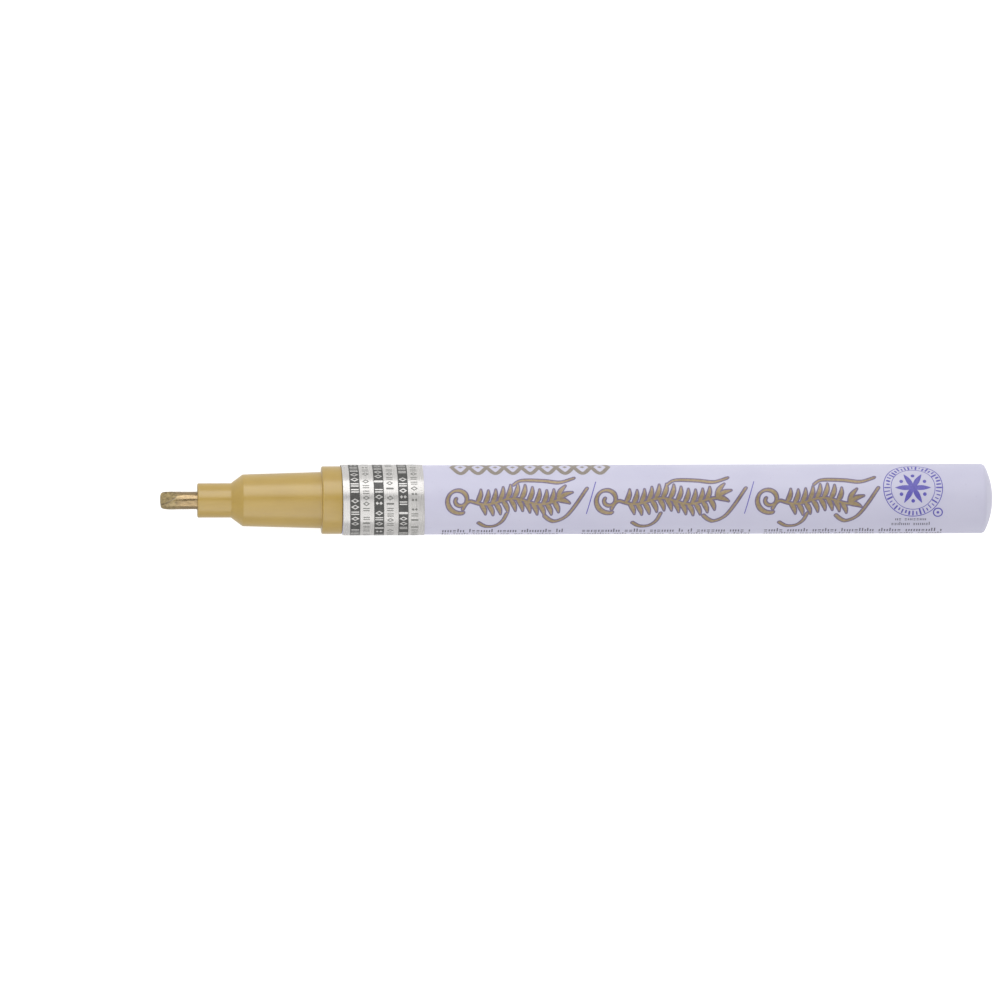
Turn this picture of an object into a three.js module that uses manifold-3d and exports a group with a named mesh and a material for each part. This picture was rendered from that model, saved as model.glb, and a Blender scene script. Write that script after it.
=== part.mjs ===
// A valve-action paint marker with a chisel calligraphy nib, its cap off, in millimetres.
//
// It is an assembly of its real pieces: a fibre nib cut to a chisel, a moulded front section that
// plugs into a drawn aluminium barrel with a domed tail, a foil label wrapped round the barrel's neck,
// a rubber packing ring between plug and barrel, the valve that the nib pushes open (seat, stem,
// spring and case), and a steel mixing ball loose in the paint chamber.
//
// Every piece is drawn about the marker's axis, which is local +Y with the nib's edge at y = 0.
// The assembly lays that axis along world +X, nib towards -X, with the underside resting on z = 0
// and the origin under the middle of the marker's length.
//
// Turned pieces have flat-sided sections. Their radii are measured to the flats, so a size across
// the flats is the real diameter, and a flat faces straight down.

import * as THREE from "three";
import { mergeVertices } from "three/addons/utils/BufferGeometryUtils.js";
import Module from "manifold-3d";

const wasm = await Module();
wasm.setup();

// ---- Driving dimensions -----------------------------------------------------------------------------

const LENGTH = 114.3; // nib edge to the crown of the tail
const SIDES = 24; // flats round every turned piece
const ARC_STEPS = 6; // each arc of an extruded outline has twice this many sides
const FIT = 0.05; // gap between pieces that are pressed or stacked together
const RUNNING_FIT = 0.07; // radial gap round the nib and the stem's tail

const BARREL = {
  radius: 4.75,
  wall: 0.4,
  mouth: 24.92,
  domeRadius: 10,
  domeSteps: 5,
  domeCorner: 0.7, // the rolled corner between side and dome
  cornerSteps: 3,
};
const LABEL = { radius: 4.84, thickness: 0.06, length: 11.13, seam: 0.25, seamAngle: 135 };
const NIB = {
  radius: 1.225,
  length: 24.5,
  edgeThickness: 0.7,
  bevelLength: 2.6,
  cornerRadius: 0.7,
  rearChamfer: 0.25,
  roll: 40, // the chisel is turned this far about the axis, in degrees
  oversize: 1.2, // the outlines that cut the rod are this many times as wide as it
};
const SECTION = {
  face: 5.1, // front face of the tip tube
  tubeRadius: 2.36,
  coneStart: 9.7,
  coneEnd: 11.3,
  gripFrontRadius: 3.55,
  gripRearRadius: 3.865,
  shoulder: 22.1, // flat ring that the rim of a cap lands on
  flangeRadius: 4.64,
  boreEnd: 11.6,
  chamberRadius: 2.2, // paint passage behind the nib's bore
  chamberStart: 12.6,
  webFront: 19.6, // slotted web that steadies the back of the nib
  webRear: 21.8,
  webSlots: 4,
  slotWidth: 0.7,
  pocketRadius: 3.15, // holds the valve seat and case
  pocketStart: 27.5,
  plugEnd: 37,
  plugTaper: 0.3,
  edge: 0.14, // broken outside corners
};
const GROOVE = { centre: 33.4, width: 0.8, floorRadius: 3.64 };
const PACKING = { ringRadius: 3.99, sectionRadius: 0.3, sectionSides: 10 };
const SEAT = { bore: 1.45, thickness: 1.4, lip: 0.35 };
const CASE = {
  radius: 3.1,
  bore: 2.45,
  collarRadius: 3.95,
  collarLength: 0.9,
  end: 42.5,
  floor: 2.4,
  windowWidth: 1.5,
  windowMargin: 0.3, // what is left of the side in front of and behind a window
  portRadius: 0.38,
  portSides: 8,
  openings: 4,
};
const STEM = {
  rod: 1.05,
  head: 2.05,
  headLength: 1.2,
  hub: 1.25,
  hubLength: 0.6,
  tail: 0.95,
  tailInFloor: 0.7, // how far the tail reaches into the case's floor
};
const SPRING = { coilRadius: 1.6, wireRadius: 0.2, turns: 7, stepsPerTurn: 16, closedPitch: 0.45 };
const BALL = { radius: 3, place: 100, columns: 24, rows: 16 };

// ---- Places along the axis, worked out from those ---------------------------------------------------

const barrelBore = BARREL.radius - BARREL.wall;
const labelFront = BARREL.mouth;
const seatFront = SECTION.pocketStart + FIT;
const seatRear = seatFront + SEAT.thickness;
const caseFront = seatRear + FIT;
const caseFloorFront = CASE.end - CASE.floor;
const collarFront = SECTION.plugEnd + FIT;
const collarRear = collarFront + CASE.collarLength;
const stemFront = NIB.length + FIT;
const headFront = seatRear + FIT;
const headRear = headFront + STEM.headLength;
const hubRear = headRear + STEM.hubLength;
const axisHeight = LABEL.radius; // the label is the widest piece, so the marker lies on it

// ---- Shape helpers ------------------------------------------------------------------------------------

// Across corners over across flats, for a section with SIDES flats.
const cornerRatio = 1 / Math.cos(Math.PI / SIDES);

// A solid turned about the axis from a profile of [radius to the flats, y] points.
function turned(profile) {
  const points = profile.map(([radius, y]) => new THREE.Vector2(radius * cornerRatio, y));
  return new THREE.LatheGeometry(points, SIDES, Math.PI / SIDES, 2 * Math.PI);
}

// The same, for a ring whose profile doesn't reach the axis.
function turnedRing(profile) {
  return turned([...profile, profile[0]]);
}

// Points on an arc about [radius, y], from one angle to another in radians.
function arc([centreRadius, centreY], radius, from, to, steps) {
  return Array.from({ length: steps + 1 }, (_, i) => {
    const angle = from + ((to - from) * i) / steps;
    return [centreRadius + radius * Math.cos(angle), centreY + radius * Math.sin(angle)];
  });
}

// A flat outline pushed out equally to both sides of the plane it is drawn in.
function slab(outline, depth) {
  const settings = { depth, bevelEnabled: false, curveSegments: ARC_STEPS };
  return new THREE.ExtrudeGeometry(outline, settings).translate(0, 0, -depth / 2);
}

function toSolid(geometry) {
  const bare = geometry.index ? geometry.toNonIndexed() : geometry.clone();
  bare.deleteAttribute("normal");
  bare.deleteAttribute("uv");
  const merged = mergeVertices(bare, 1e-3);
  const vertProperties = new Float32Array(merged.attributes.position.array);
  const triVerts = new Uint32Array(merged.index.array);
  return new wasm.Manifold(new wasm.Mesh({ numProp: 3, vertProperties, triVerts }));
}

function toGeometry(made) {
  const { vertProperties, triVerts } = made.getMesh();
  const geometry = new THREE.BufferGeometry();
  geometry.setAttribute("position", new THREE.BufferAttribute(vertProperties, 3));
  geometry.setIndex(new THREE.BufferAttribute(triVerts, 1));
  geometry.computeVertexNormals();
  return geometry;
}

function cut(body, tools) {
  const made = tools.reduce((left, tool) => left.subtract(toSolid(tool)), toSolid(body));
  return toGeometry(made);
}

// Copies of a tool that reaches out along local +X, spread evenly round the axis.
function spread(count, makeTool, turn = 0) {
  return Array.from({ length: count }, (_, i) => makeTool().rotateY(turn + (2 * Math.PI * i) / count));
}

// ---- Pieces -------------------------------------------------------------------------------------------

// A fibre rod whose front is cut to a chisel: two bevels meet in a blunt edge with rounded corners.
function nibShape() {
  const { radius, length, edgeThickness, bevelLength, cornerRadius, rearChamfer } = NIB;
  const reach = radius * NIB.oversize;
  const beyond = length * NIB.oversize;
  const rod = turned([
    [0, 0],
    [radius, 0],
    [radius, length - rearChamfer],
    [radius - rearChamfer, length],
    [0, length],
  ]);

  const plan = new THREE.Shape();
  plan.moveTo(reach, beyond);
  plan.lineTo(-reach, beyond);
  plan.lineTo(-reach, bevelLength);
  plan.lineTo(-radius, cornerRadius);
  plan.absarc(cornerRadius - radius, cornerRadius, cornerRadius, Math.PI, 1.5 * Math.PI);
  plan.absarc(radius - cornerRadius, cornerRadius, cornerRadius, 1.5 * Math.PI, 2 * Math.PI);
  plan.lineTo(reach, bevelLength);

  const wedge = new THREE.Shape();
  wedge.moveTo(-edgeThickness / 2, 0);
  wedge.lineTo(edgeThickness / 2, 0);
  wedge.lineTo(reach, bevelLength);
  wedge.lineTo(reach, beyond);
  wedge.lineTo(-reach, beyond);
  wedge.lineTo(-reach, bevelLength);

  const fromAbove = toSolid(slab(plan, 2 * reach));
  const fromTheSide = toSolid(slab(wedge, 2 * reach).rotateY(Math.PI / 2));
  const cutRod = toSolid(rod).intersect(fromAbove).intersect(fromTheSide);
  return toGeometry(cutRod).rotateY(THREE.MathUtils.degToRad(NIB.roll));
}

// Tip tube, cone, tapered grip, flange and the plug that goes into the barrel, in one moulding.
function frontSectionShape() {
  const s = SECTION;
  const nibBore = NIB.radius + RUNNING_FIT;
  const plugRadius = barrelBore - FIT;
  const flangeRear = BARREL.mouth - FIT;
  const grooveFront = GROOVE.centre - GROOVE.width / 2;
  const grooveRear = GROOVE.centre + GROOVE.width / 2;
  const outside = [
    [nibBore, s.face],
    [s.tubeRadius - s.edge, s.face],
    [s.tubeRadius, s.face + s.edge],
    [s.tubeRadius, s.coneStart],
    [s.gripFrontRadius - s.edge, s.coneEnd - s.edge],
    [s.gripFrontRadius, s.coneEnd + s.edge],
    [s.gripRearRadius, s.shoulder],
    [s.flangeRadius - s.edge, s.shoulder],
    [s.flangeRadius, s.shoulder + s.edge],
    [s.flangeRadius, flangeRear],
    [plugRadius, flangeRear],
    [plugRadius, grooveFront],
    [GROOVE.floorRadius, grooveFront],
    [GROOVE.floorRadius, grooveRear],
    [plugRadius, grooveRear],
    [plugRadius, s.plugEnd - 2 * s.plugTaper],
    [plugRadius - s.plugTaper, s.plugEnd],
  ];
  const inside = [
    [s.pocketRadius, s.plugEnd],
    [s.pocketRadius, s.pocketStart],
    [s.chamberRadius, s.pocketStart],
    [s.chamberRadius, s.webRear],
    [nibBore, s.webRear],
    [nibBore, s.webFront],
    [s.chamberRadius, s.webFront],
    [s.chamberRadius, s.chamberStart],
    [nibBore, s.boreEnd],
  ];
  const webLength = s.webRear - s.webFront;
  const slot = () => {
    const box = new THREE.BoxGeometry(s.chamberRadius, 2 * webLength, s.slotWidth);
    return box.translate(s.chamberRadius / 2, s.webFront + webLength / 2, 0);
  };
  return cut(turnedRing([...outside, ...inside]), spread(s.webSlots, slot));
}

// A drawn aluminium tube of even wall, open at the mouth, with a shallow domed tail.
function barrelShape() {
  const { radius, wall, mouth, domeRadius, domeCorner } = BARREL;
  const domeCentre = LENGTH - domeRadius;
  const cornerCentre = radius - domeCorner;
  const turn = Math.acos(cornerCentre / (domeRadius - domeCorner)); // where dome and corner meet
  const cornerY = domeCentre + (domeRadius - domeCorner) * Math.sin(turn);
  const tail = (inset) => [
    ...arc([cornerCentre, cornerY], domeCorner - inset, 0, turn, BARREL.cornerSteps),
    ...arc([0, domeCentre], domeRadius - inset, turn, Math.PI / 2, BARREL.domeSteps).slice(1, -1),
    [0, LENGTH - inset],
  ];
  return turned([...tail(wall).reverse(), [radius - wall, mouth], [radius, mouth], ...tail(0)]);
}

// A strip of foil wrapped once round the barrel's neck. Its two ends don't quite meet, at the middle
// of a flat on the underside.
function neckLabelShape() {
  const { radius, thickness, length, seam, seamAngle } = LABEL;
  const step = (2 * Math.PI) / SIDES;
  const seamAt = THREE.MathUtils.degToRad(seamAngle);
  const point = (distance, angle) => new THREE.Vector2(distance, 0).rotateAround(new THREE.Vector2(), angle);
  // One face of the wrapped strip, from one end of the strip round to the other.
  const face = (toFlats) => {
    const seamHalf = Math.atan(seam / 2 / toFlats);
    const atSeam = toFlats / Math.cos(seamHalf);
    return [
      point(atSeam, seamAt + seamHalf),
      ...Array.from({ length: SIDES }, (_, i) => point(toFlats * cornerRatio, seamAt + (i + 0.5) * step)),
      point(atSeam, seamAt - seamHalf),
    ];
  };
  const outline = new THREE.Shape([...face(radius), ...face(radius - thickness).reverse()]);
  const strip = slab(outline, length);
  return strip.rotateX(-Math.PI / 2).translate(0, labelFront + length / 2, 0);
}

// A rubber ring that seals the plug in the barrel.
function packingRingShape() {
  const { ringRadius, sectionRadius, sectionSides } = PACKING;
  const section = arc([ringRadius, GROOVE.centre], sectionRadius, 0, 2 * Math.PI, sectionSides);
  return turnedRing(section.slice(0, -1));
}

// A rubber washer with a raised lip round its hole, which the stem's head closes against.
function valveSeatShape() {
  const { bore, lip } = SEAT;
  const radius = SECTION.pocketRadius - FIT;
  return turnedRing([
    [bore, seatFront],
    [radius, seatFront],
    [radius, seatRear],
    [bore + 2 * lip, seatRear],
    [bore + 2 * lip, seatRear - lip],
    [bore + lip, seatRear - lip],
    [bore + lip, seatRear],
    [bore, seatRear],
  ]);
}

// A cup behind the seat that holds the stem and spring, with windows and floor ports for the paint.
function valveCaseShape() {
  const c = CASE;
  const edge = 0.3;
  const guideBore = STEM.tail + RUNNING_FIT;
  const cup = turnedRing([
    [c.bore, caseFront],
    [c.radius, caseFront],
    [c.radius, collarFront],
    [c.collarRadius, collarFront],
    [c.collarRadius, collarRear],
    [c.radius, collarRear],
    [c.radius, c.end - edge],
    [c.radius - edge, c.end],
    [guideBore, c.end],
    [guideBore, caseFloorFront],
    [c.bore, caseFloorFront],
  ]);
  const windowLength = caseFloorFront - collarRear - 2 * c.windowMargin;
  const sideWindow = () => {
    const box = new THREE.BoxGeometry(2 * c.radius, windowLength, c.windowWidth);
    return box.translate(c.radius + STEM.rod, (collarRear + caseFloorFront) / 2, 0);
  };
  const port = () => {
    const drill = new THREE.CylinderGeometry(c.portRadius, c.portRadius, 2 * c.floor, c.portSides);
    return drill.translate((c.bore + guideBore) / 2, c.end - c.floor / 2, 0);
  };
  const halfStep = Math.PI / c.openings;
  return cut(cup, [...spread(c.openings, sideWindow), ...spread(c.openings, port, halfStep)]);
}

// The plunger: the rod that the nib pushes, the head that seals on the seat, and its guided tail.
function valveStemShape() {
  const { rod, head, hub, tail, tailInFloor } = STEM;
  const edge = 0.15;
  const tailEnd = caseFloorFront + tailInFloor;
  return turned([
    [0, stemFront],
    [rod - edge, stemFront],
    [rod, stemFront + edge],
    [rod, headFront],
    [head, headFront],
    [head, headRear],
    [hub, headRear],
    [hub, hubRear],
    [tail, hubRear + hub - tail],
    [tail, tailEnd - edge],
    [tail - edge, tailEnd],
    [0, tailEnd],
  ]);
}

// The centre line of a compression spring with one closed turn at each end.
class Coil extends THREE.Curve {
  constructor(start, end) {
    super();
    this.start = start;
    this.openPitch = (end - start - 2 * SPRING.closedPitch) / (SPRING.turns - 2);
  }

  getPoint(t, target = new THREE.Vector3()) {
    const { coilRadius, turns, closedPitch } = SPRING;
    const turn = t * turns;
    const openTurns = THREE.MathUtils.clamp(turn - 1, 0, turns - 2);
    const y = this.start + closedPitch * (turn - openTurns) + this.openPitch * openTurns;
    const angle = 2 * Math.PI * turn;
    return target.set(coilRadius * Math.cos(angle), y, coilRadius * Math.sin(angle));
  }
}

function valveSpringShape() {
  const { wireRadius, turns, stepsPerTurn } = SPRING;
  const wire = new THREE.Shape().absarc(0, 0, wireRadius, 0, 2 * Math.PI);
  const clearance = wireRadius + FIT;
  return new THREE.ExtrudeGeometry(wire, {
    steps: turns * stepsPerTurn,
    curveSegments: ARC_STEPS,
    extrudePath: new Coil(headRear + clearance, caseFloorFront - clearance),
  });
}

// ---- Assembly -------------------------------------------------------------------------------------------

const materials = {
  fibre: { color: 0x9a8750, roughness: 0.45, metalness: 0.4 },
  tanPlastic: { color: 0xbd9f60, roughness: 0.35, metalness: 0 },
  lacquer: { color: 0xcfcbe4, roughness: 0.3, metalness: 0.1 },
  foil: { color: 0xd8d6d2, roughness: 0.3, metalness: 0.8 },
  rubber: { color: 0x2c2c2e, roughness: 0.8, metalness: 0 },
  naturalPlastic: { color: 0xeceae4, roughness: 0.5, metalness: 0 },
  steel: { color: 0xb8babd, roughness: 0.25, metalness: 1 },
};

const marker = new THREE.Group();

function addPiece(name, geometry, material) {
  const mesh = new THREE.Mesh(geometry, new THREE.MeshStandardMaterial(material));
  mesh.name = name;
  marker.add(mesh);
  return mesh;
}

addPiece("nib", nibShape(), materials.fibre);
addPiece("front_section", frontSectionShape(), materials.tanPlastic);
addPiece("barrel", barrelShape(), materials.lacquer);
addPiece("neck_label", neckLabelShape(), materials.foil);
addPiece("packing_ring", packingRingShape(), materials.rubber);
addPiece("valve_seat", valveSeatShape(), materials.rubber);
addPiece("valve_case", valveCaseShape(), materials.naturalPlastic);
addPiece("valve_stem", valveStemShape(), materials.naturalPlastic);
addPiece("valve_spring", valveSpringShape(), materials.steel);

// The ball lies on the bottom of the barrel's bore.
const ballGeometry = new THREE.SphereGeometry(BALL.radius, BALL.columns, BALL.rows);
const ball = addPiece("mixing_ball", ballGeometry, materials.steel);
ball.position.set(0, BALL.place, BALL.radius + FIT - barrelBore);

marker.rotation.z = -Math.PI / 2;
marker.position.set(-LENGTH / 2, 0, axisHeight);

export default marker;
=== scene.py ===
"""The looks of a calligraphy paint marker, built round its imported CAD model.

Lengths are in millimetres until place() turns them into metres. Along the marker, s is the distance
behind the nib's edge. Round the marker, angles and arc lengths count from the top and grow towards
+Y, so printed artwork is drawn flat, as (s, arc) points, and then wrapped onto its surface.
"""

import math
import random

import bmesh
import bpy
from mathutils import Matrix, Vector, geometry, noise


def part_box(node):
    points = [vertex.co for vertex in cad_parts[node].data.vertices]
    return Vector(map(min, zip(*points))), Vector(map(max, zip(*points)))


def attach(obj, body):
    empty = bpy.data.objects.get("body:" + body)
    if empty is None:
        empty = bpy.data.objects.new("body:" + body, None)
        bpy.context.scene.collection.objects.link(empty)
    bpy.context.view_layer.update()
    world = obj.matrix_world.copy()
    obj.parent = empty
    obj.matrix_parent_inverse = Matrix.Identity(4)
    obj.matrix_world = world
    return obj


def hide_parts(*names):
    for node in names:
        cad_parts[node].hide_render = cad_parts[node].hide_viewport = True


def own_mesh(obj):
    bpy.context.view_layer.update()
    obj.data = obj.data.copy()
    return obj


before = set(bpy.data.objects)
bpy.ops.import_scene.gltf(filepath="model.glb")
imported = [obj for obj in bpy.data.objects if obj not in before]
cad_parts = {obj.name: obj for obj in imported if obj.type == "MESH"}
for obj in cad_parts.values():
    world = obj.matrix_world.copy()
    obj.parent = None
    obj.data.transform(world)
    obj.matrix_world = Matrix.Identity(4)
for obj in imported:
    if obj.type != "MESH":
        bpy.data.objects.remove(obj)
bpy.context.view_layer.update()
random.seed(4)  # the small print and the badge's ticks come out the same each run

# ---- The frame, in millimetres ------------------------------------------------------------------------

MM = 0.001
NIB_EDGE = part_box("nib")[0].x / MM
AXIS_HEIGHT = (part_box("neck_label")[0].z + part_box("neck_label")[1].z) / 2 / MM
HOLDER = "marker_body"  # the body that everything but the nib, stem and ball belongs to


def place(s, across, up):
    """A point in the frame, in metres, from its place along, across and above the axis."""
    return Vector((NIB_EDGE + s, across, AXIS_HEIGHT + up)) * MM


def span(node):
    """Where a node starts and ends along the marker, and its radius."""
    low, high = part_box(node)
    return low.x / MM - NIB_EDGE, high.x / MM - NIB_EDGE, (high.y - low.y) / 2 / MM


# ---- Meshes -------------------------------------------------------------------------------------------

ROUND = 144  # sides round a turned piece
SMOOTH_ANGLE = math.radians(32)
TINY = 1e-6  # a radius, a sine or a cosine below this counts as nothing


def mesh_object(name, vertices, faces):
    """An object from points in metres, with its faces turned outwards."""
    mesh = bpy.data.meshes.new(name)
    mesh.from_pydata([tuple(v) for v in vertices], [], faces)
    made = bmesh.new()
    made.from_mesh(mesh)
    bmesh.ops.recalc_face_normals(made, faces=made.faces)
    made.to_mesh(mesh)
    made.free()
    item = bpy.data.objects.new(name, mesh)
    bpy.context.scene.collection.objects.link(item)
    return item


def piece(name, vertices, faces, material, body, node=None):
    """A smooth-shaded piece from points in metres, riding on a body."""
    item = mesh_object(name, vertices, faces)
    item.data.shade_smooth()
    item.data.set_sharp_from_angle(angle=SMOOTH_ANGLE)
    item.data.materials.append(material)
    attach(item, body)
    if node:
        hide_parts(node)
    return item


def fillet(before, corner, after, radius, steps):
    """The arc that rounds a corner, as points."""
    back = (before - corner).normalized()
    on = (after - corner).normalized()
    half = back.angle(on) / 2
    reach = radius / math.tan(half)
    centre = corner + (back + on).normalized() * (radius / math.sin(half))
    start = corner + back * reach - centre
    end = corner + on * reach - centre
    return [centre + start.slerp(end, i / steps) * radius for i in range(steps + 1)]


def rounded(corners, closed=True, steps=5):
    """A profile of (s, radius) points from (s, radius, fillet) corners."""
    points = []
    count = len(corners)
    for i, (s, radius, size) in enumerate(corners):
        corner = Vector((s, radius))
        if size and (closed or 0 < i < count - 1):
            before = Vector(corners[i - 1][:2])
            after = Vector(corners[(i + 1) % count][:2])
            points += fillet(before, corner, after, size, steps)
        else:
            points.append(corner)
    return points


def arc(centre, radius, start, end, steps):
    """Points on an arc about (s, radius). Angles are in radians, from the +s direction."""
    turn = [start + (end - start) * i / steps for i in range(steps + 1)]
    return [Vector((centre[0] + radius * math.cos(a), centre[1] + radius * math.sin(a))) for a in turn]


def revolve(profile, closed=True, offset=(0, 0), sides=ROUND):
    """Vertices and faces of a profile turned about the axis, or about a line beside it."""
    vertices = []
    rings = []
    for s, radius in profile:
        if radius < TINY:
            rings.append([len(vertices)] * sides)
            vertices.append(place(s, *offset))
            continue
        rings.append(list(range(len(vertices), len(vertices) + sides)))
        for i in range(sides):
            angle = 2 * math.pi * i / sides
            across = offset[0] + radius * math.sin(angle)
            vertices.append(place(s, across, offset[1] + radius * math.cos(angle)))
    pairs = list(zip(rings, rings[1:]))
    if closed:
        pairs.append((rings[-1], rings[0]))
    faces = []
    for first, second in pairs:
        for i in range(sides):
            j = (i + 1) % sides
            corners = [first[i], first[j], second[j], second[i]]
            face = [v for k, v in enumerate(corners) if v != corners[k - 1]]
            if len(face) > 2:
                faces.append(face)
    return vertices, faces


def cut(item, cutters):
    """Takes the cutters out of a piece, removes them, and leaves no face without an area."""
    shortest_edge = 0.0002 * MM
    for cutter in cutters:
        step = item.modifiers.new("cut", "BOOLEAN")
        step.object = cutter
        step.solver = "EXACT"
    graph = bpy.context.evaluated_depsgraph_get()
    mesh = bpy.data.meshes.new_from_object(item.evaluated_get(graph))
    mesh.name = item.name
    item.modifiers.clear()
    item.data = mesh
    for cutter in cutters:
        bpy.data.objects.remove(cutter)
    made = bmesh.new()
    made.from_mesh(mesh)
    bmesh.ops.triangulate(made, faces=[face for face in made.faces if len(face.verts) > 4])
    bmesh.ops.dissolve_degenerate(made, dist=shortest_edge, edges=made.edges)
    made.to_mesh(mesh)
    made.free()
    mesh.set_sharp_from_angle(angle=SMOOTH_ANGLE)


def radial_cutter(outline, start, end, angle):
    """A prism for cut(), with an outline of (s, sideways) points, from one radius out to another."""
    side = Vector((math.cos(angle), -math.sin(angle)))
    out = Vector((math.sin(angle), math.cos(angle)))
    vertices = []
    for radius in (start, end):
        for s, sideways in outline:
            spot = out * radius + side * sideways
            vertices.append(place(s, spot.x, spot.y))
    count = len(outline)
    faces = [list(range(count)), list(range(count, 2 * count))]
    faces += [[i, (i + 1) % count, count + (i + 1) % count, count + i] for i in range(count)]
    return mesh_object("cutter", vertices, faces)


def soft_rectangle(middle, length, width, corner):
    """The (s, sideways) outline of a rectangle with rounded corners."""
    signs = ((1, 1), (-1, 1), (-1, -1), (1, -1))
    corners = [(middle + a * length / 2, b * width / 2, corner) for a, b in signs]
    return [tuple(p) for p in rounded(corners, steps=4)]


# ---- Printed films ------------------------------------------------------------------------------------

GRAIN = 0.3  # longest step across a film, so that it follows the curve under it


def turned_left(polygon):
    """The same polygon, counter-clockwise."""
    area = sum(a.x * b.y - b.x * a.y for a, b in zip(polygon, polygon[1:] + polygon[:1]))
    return polygon if area > 0 else polygon[::-1]


def union(polygons):
    """The triangles that cover a set of convex polygons, which may overlap."""
    inside_only = 1
    merge = 1e-4
    points = []
    outlines = []
    for polygon in polygons:
        outlines.append(list(range(len(points), len(points) + len(polygon))))
        points += turned_left([Vector(p) for p in polygon])
    low = Vector((min(p.x for p in points), min(p.y for p in points)))
    high = Vector((max(p.x for p in points), max(p.y for p in points)))
    across = int((high.x - low.x) / GRAIN)
    up = int((high.y - low.y) / GRAIN)
    grid = [low + Vector((i + 0.5, j + 0.5)) * GRAIN for i in range(across) for j in range(up)]
    made = geometry.delaunay_2d_cdt(points + grid, [], outlines, inside_only, merge)
    vertices, _, cells, _, _, covered_by = made
    return vertices, [cell for cell, polygons_over in zip(cells, covered_by) if polygons_over]


def film(name, shapes, radius, material, heights, lean=0.0):
    """A closed film of ink from flat meshes of (points, faces), wrapped round the axis at a radius.

    heights are its bottom and its top above the radius, and lean slides it along for each unit round.
    """
    vertices = []
    faces = []
    for points, cells in shapes:
        used = sorted({v for cell in cells for v in cell})
        lower = {v: len(vertices) + i for i, v in enumerate(used)}
        upper = {v: len(vertices) + len(used) + i for i, v in enumerate(used)}
        for height in heights:
            for s, round_way in (points[v] for v in used):
                angle = round_way / radius
                across = (radius + height) * math.sin(angle)
                vertices.append(place(s + lean * round_way, across, (radius + height) * math.cos(angle)))
        faces += [[upper[v] for v in cell] for cell in cells]
        faces += [[lower[v] for v in reversed(cell)] for cell in cells]
        edges = [edge for cell in cells for edge in zip(cell, [*cell[1:], cell[0]])]
        paired = set(edges)
        faces += [[lower[a], lower[b], upper[b], upper[a]] for a, b in edges if (b, a) not in paired]
    piece(name, vertices, faces, material, HOLDER)


def curve(knots):
    """A smooth line through (s, arc, width) knots."""
    samples = 10
    line = []
    count = len(knots)
    for i in range(count - 1):
        around = [knots[max(i - 1, 0)], knots[i], knots[i + 1], knots[min(i + 2, count - 1)]]
        for step in range(samples + (i == count - 2)):
            t = step / samples
            weights = (
                (-t + 2 * t**2 - t**3) / 2,
                (2 - 5 * t**2 + 3 * t**3) / 2,
                (t + 4 * t**2 - 3 * t**3) / 2,
                (t**3 - t**2) / 2,
            )
            line.append([sum(w * value for w, value in zip(weights, values)) for values in zip(*around)])
    return line


PEN_ANGLE = math.radians(38)
PEN_SIDES = 10


def pen_print(s, across, width, thickness):
    """The print of a broad pen's edge, held at the pen angle."""
    long_way = Vector((math.cos(PEN_ANGLE), math.sin(PEN_ANGLE))) * width / 2
    short_way = Vector((-math.sin(PEN_ANGLE), math.cos(PEN_ANGLE))) * thickness / 2
    turn = [2 * math.pi * i / PEN_SIDES for i in range(PEN_SIDES)]
    return [Vector((s, across)) + long_way * math.cos(a) + short_way * math.sin(a) for a in turn]


def stroke(line, thickness=None, grow=0.0):
    """The convex pieces of a stroke along (s, arc, width) points. With no thickness, the pen is round."""
    prints = []
    for s, across, width in line:
        prints.append(pen_print(s, across, width + grow, (thickness or width) + grow))
    pieces = []
    for first, second in zip(prints, prints[1:]):
        both = first + second
        pieces.append([both[i] for i in geometry.convex_hull_2d(both)])
    return pieces


def straight(start, end, width):
    """The convex pieces of a straight line of even width, in steps short enough to bend round the barrel."""
    start, end = Vector(start), Vector(end)
    steps = max(1, math.ceil((end - start).length / GRAIN))
    return stroke([(*start.lerp(end, i / steps), width) for i in range(steps + 1)])


def leaf(base, angle, length, width, bend, grow=0.0):
    """A leaf from its base out along an angle, bent to one side, and widest nearer the base."""
    point = 0.08
    fullness = 0.8
    steps = 9
    along = Vector((math.cos(angle), math.sin(angle)))
    side = Vector((-along.y, along.x))
    line = []
    for i in range(steps + 1):
        t = i / steps
        spot = Vector(base) + along * length * t + side * length * bend * math.sin(math.pi * t)
        line.append((spot.x, spot.y, point + width * math.sin(math.pi * t**fullness)))
    return stroke(line, grow=grow)


def lozenge(s, across, size):
    """A dot made with one touch of a broad pen."""
    reach = size / 2
    return [[(s - reach, across), (s, across - reach), (s + reach, across), (s, across + reach)]]


def round_corners(s, across, radius, sides):
    """The corners of a round outline."""
    turn = [2 * math.pi * i / sides for i in range(sides)]
    return [(s + radius * math.cos(angle), across + radius * math.sin(angle)) for angle in turn]


def disc(s, across, radius):
    """The one convex piece of a small round dot."""
    return [round_corners(s, across, radius, 12)]


def ring(s, across, inner, outer, sides=72):
    """The convex pieces of a ring."""
    near = round_corners(s, across, inner, sides)
    far = round_corners(s, across, outer, sides)
    return [[near[i - 1], far[i - 1], far[i], near[i]] for i in range(sides)]


# ---- Materials ----------------------------------------------------------------------------------------


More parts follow.
